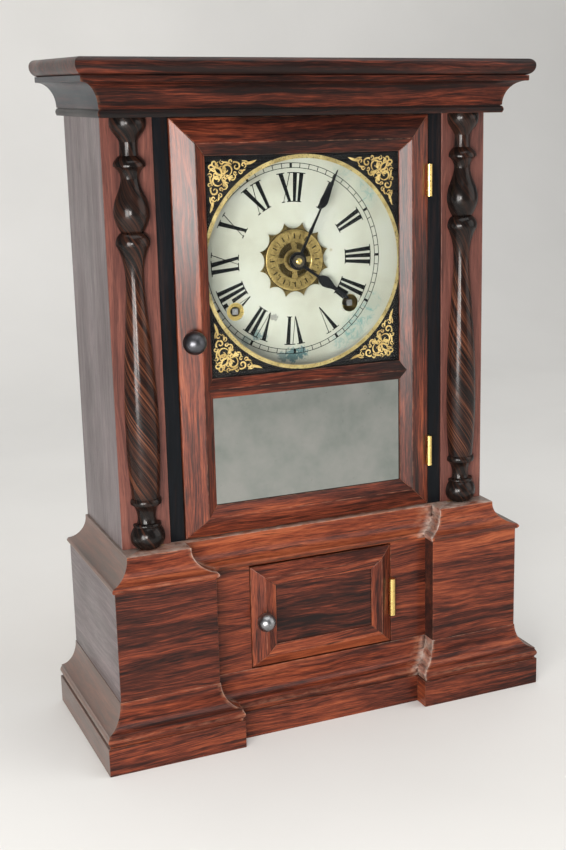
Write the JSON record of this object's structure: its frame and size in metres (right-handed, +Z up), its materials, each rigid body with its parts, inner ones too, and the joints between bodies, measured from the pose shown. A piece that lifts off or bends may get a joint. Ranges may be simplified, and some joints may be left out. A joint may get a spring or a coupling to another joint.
{
  "type": "column shelf clock",
  "caption": "Upright rosewood shelf clock with cornice, split turned columns, glazed upper door over a mirror, breakfront base with its own door, alarm disc and pendulum movement.",
  "frame": {"origin": "middle of the base's underside", "axes": "+Z up, the dial faces -Y, +X to the right seen from the front"},
  "size_m": [0.316, 0.128, 0.44],
  "materials": {
    "rosewood_veneer": "french polished",
    "dark_turned_wood": "gloss varnish",
    "secondary_pine": "bare, aged",
    "brass": "polished",
    "steel": "plain",
    "blued_steel": "blued",
    "dark_knob": "dark bronze",
    "bell_metal": "cast",
    "dial_paint": "aged paint",
    "painted_glass": "clear",
    "mirror": "silvered"
  },
  "bodies": {
    "case": {"top_board": "rosewood_veneer", "cornice_crown": "rosewood_veneer", "case_sides": "rosewood_veneer", "case_front_frame": "rosewood_veneer", "cap_moulding": "rosewood_veneer", "pedestal_fronts": "rosewood_veneer", "base_sides": "rosewood_veneer", "base_front": "rosewood_veneer", "foot_moulding": "rosewood_veneer", "skirt": "rosewood_veneer", "left_column": "dark_turned_wood", "right_column": "dark_turned_wood", "door_jambs": "dark_turned_wood", "cornice_frieze": "secondary_pine", "case_back": "secondary_pine", "case_floor": "secondary_pine", "base_back": "secondary_pine", "base_floor": "secondary_pine", "inner_battens": "secondary_pine", "hinge_case_leaves": "brass", "hinge_pins": "brass", "front_plate": "brass", "back_plate": "brass", "plate_pillars": "steel", "mainsprings": "steel", "screws": "steel", "strike_bell": "bell_metal", "dial_plate": "dial_paint"},
    "upper_door": {"door_stiles": "rosewood_veneer", "door_rails": "rosewood_veneer", "dial_glass": "painted_glass", "mirror": "mirror", "door_hinge_leaves": "brass"},
    "upper_knob": {"door_knob": "dark_knob", "door_latch": "steel"},
    "lower_door": {"base_door_frame": "rosewood_veneer", "base_door_panel": "rosewood_veneer", "base_door_hinge_leaf": "brass"},
    "lower_knob": {"base_door_knob": "dark_knob"},
    "minute_train": {"centre_arbor": "brass", "minute_hand": "blued_steel", "hand_nut": "brass"},
    "hour_train": {"hour_wheel": "brass", "hour_hand": "blued_steel"},
    "alarm_setting": {"alarm_disc": "brass"},
    "minute_wheel": {"minute_wheel": "brass"},
    "time_great": {"time_great_wheel": "brass"},
    "second_wheel": {"second_wheel": "brass"},
    "third_wheel": {"third_wheel": "brass"},
    "escape_wheel": {"escape_wheel": "brass"},
    "pendulum": {"verge": "steel", "pendulum_rod": "steel", "pendulum_bob": "brass"},
    "time_winding": {"time_winding_arbor": "steel"},
    "strike_great": {"strike_great_wheel": "brass"},
    "strike_pins": {"pin_wheel": "brass"},
    "strike_fly": {"fly": "brass"},
    "strike_winding": {"strike_winding_arbor": "steel"},
    "hammer": {"strike_hammer": "steel"}
  },
  "joints": [
    {"name": "upper_door_swing", "type": "hinge", "parent": "case", "child": "upper_door", "pos_m": [0.0894, -0.0262, 0.3109], "axis": [0, 0, 1], "range_deg": [0, 120]},
    {"name": "upper_knob_turn", "type": "hinge", "parent": "upper_door", "child": "upper_knob", "pos_m": [-0.082, -0.024, 0.2672], "axis": [0, 1, 0], "range_deg": [0, 90]},
    {"name": "lower_door_swing", "type": "hinge", "parent": "case", "child": "lower_door", "pos_m": [0.05175, -0.0423, 0.0795], "axis": [0, 0, 1], "range_deg": [0, 110]},
    {"name": "lower_knob_turn", "type": "hinge", "parent": "lower_door", "child": "lower_knob", "pos_m": [-0.0455, -0.0395, 0.0795], "axis": [0, 1, 0], "range_deg": [0, 90]},
    {"name": "minute_turn", "type": "hinge", "parent": "case", "child": "minute_train", "pos_m": [0, 0.012, 0.3109], "axis": [0, 1, 0], "continuous": true},
    {"name": "hour_turn", "type": "hinge", "parent": "case", "child": "hour_train", "pos_m": [0, 0.012, 0.3109], "axis": [0, 1, 0], "continuous": true},
    {"name": "alarm_set", "type": "hinge", "parent": "hour_train", "child": "alarm_setting", "pos_m": [0, 0.012, 0.3109], "axis": [0, 1, 0], "continuous": true},
    {"name": "minute_wheel_turn", "type": "hinge", "parent": "case", "child": "minute_wheel", "pos_m": [0.009, 0.012, 0.29531], "axis": [0, 1, 0], "continuous": true},
    {"name": "time_great_turn", "type": "hinge", "parent": "case", "child": "time_great", "pos_m": [-0.0415, 0.012, 0.2789], "axis": [0, 1, 0], "continuous": true},
    {"name": "second_wheel_turn", "type": "hinge", "parent": "case", "child": "second_wheel", "pos_m": [-0.02867, 0.012, 0.30822], "axis": [0, 1, 0], "continuous": true},
    {"name": "third_wheel_turn", "type": "hinge", "parent": "case", "child": "third_wheel", "pos_m": [-0.01503, 0.012, 0.33186], "axis": [0, 1, 0], "continuous": true},
    {"name": "escape_wheel_turn", "type": "hinge", "parent": "case", "child": "escape_wheel", "pos_m": [0, 0.012, 0.34894], "axis": [0, 1, 0], "continuous": true},
    {"name": "pendulum_swing", "type": "hinge", "parent": "case", "child": "pendulum", "pos_m": [0, 0.012, 0.37094], "axis": [0, 1, 0], "range_deg": [-4, 4]},
    {"name": "time_winding_turn", "type": "hinge", "parent": "case", "child": "time_winding", "pos_m": [-0.0415, 0.012, 0.2789], "axis": [0, 1, 0], "continuous": true},
    {"name": "strike_great_turn", "type": "hinge", "parent": "case", "child": "strike_great", "pos_m": [0.0415, 0.012, 0.2789], "axis": [0, 1, 0], "continuous": true},
    {"name": "strike_pin_turn", "type": "hinge", "parent": "case", "child": "strike_pins", "pos_m": [0.03594, 0.012, 0.31041], "axis": [0, 1, 0], "continuous": true},
    {"name": "strike_fly_turn", "type": "hinge", "parent": "case", "child": "strike_fly", "pos_m": [0.04183, 0.012, 0.33239], "axis": [0, 1, 0], "continuous": true},
    {"name": "strike_winding_turn", "type": "hinge", "parent": "case", "child": "strike_winding", "pos_m": [0.0415, 0.012, 0.2789], "axis": [0, 1, 0], "continuous": true},
    {"name": "hammer_lift", "type": "hinge", "parent": "case", "child": "hammer", "pos_m": [0.018, 0.012, 0.2529], "axis": [0, -1, 0], "range_deg": [0, 10]}
  ],
  "couplings": [
    {"joint": "hour_turn", "follows": "minute_turn", "ratio": 0.083333},
    {"joint": "minute_wheel_turn", "follows": "minute_turn", "ratio": -0.33333},
    {"joint": "second_wheel_turn", "follows": "minute_turn", "ratio": -0.8},
    {"joint": "time_great_turn", "follows": "minute_turn", "ratio": 0.088889},
    {"joint": "third_wheel_turn", "follows": "minute_turn", "ratio": 9.6},
    {"joint": "escape_wheel_turn", "follows": "minute_turn", "ratio": -115.2},
    {"joint": "strike_pin_turn", "follows": "strike_great_turn", "ratio": -9},
    {"joint": "strike_fly_turn", "follows": "strike_great_turn", "ratio": 108}
  ]
}
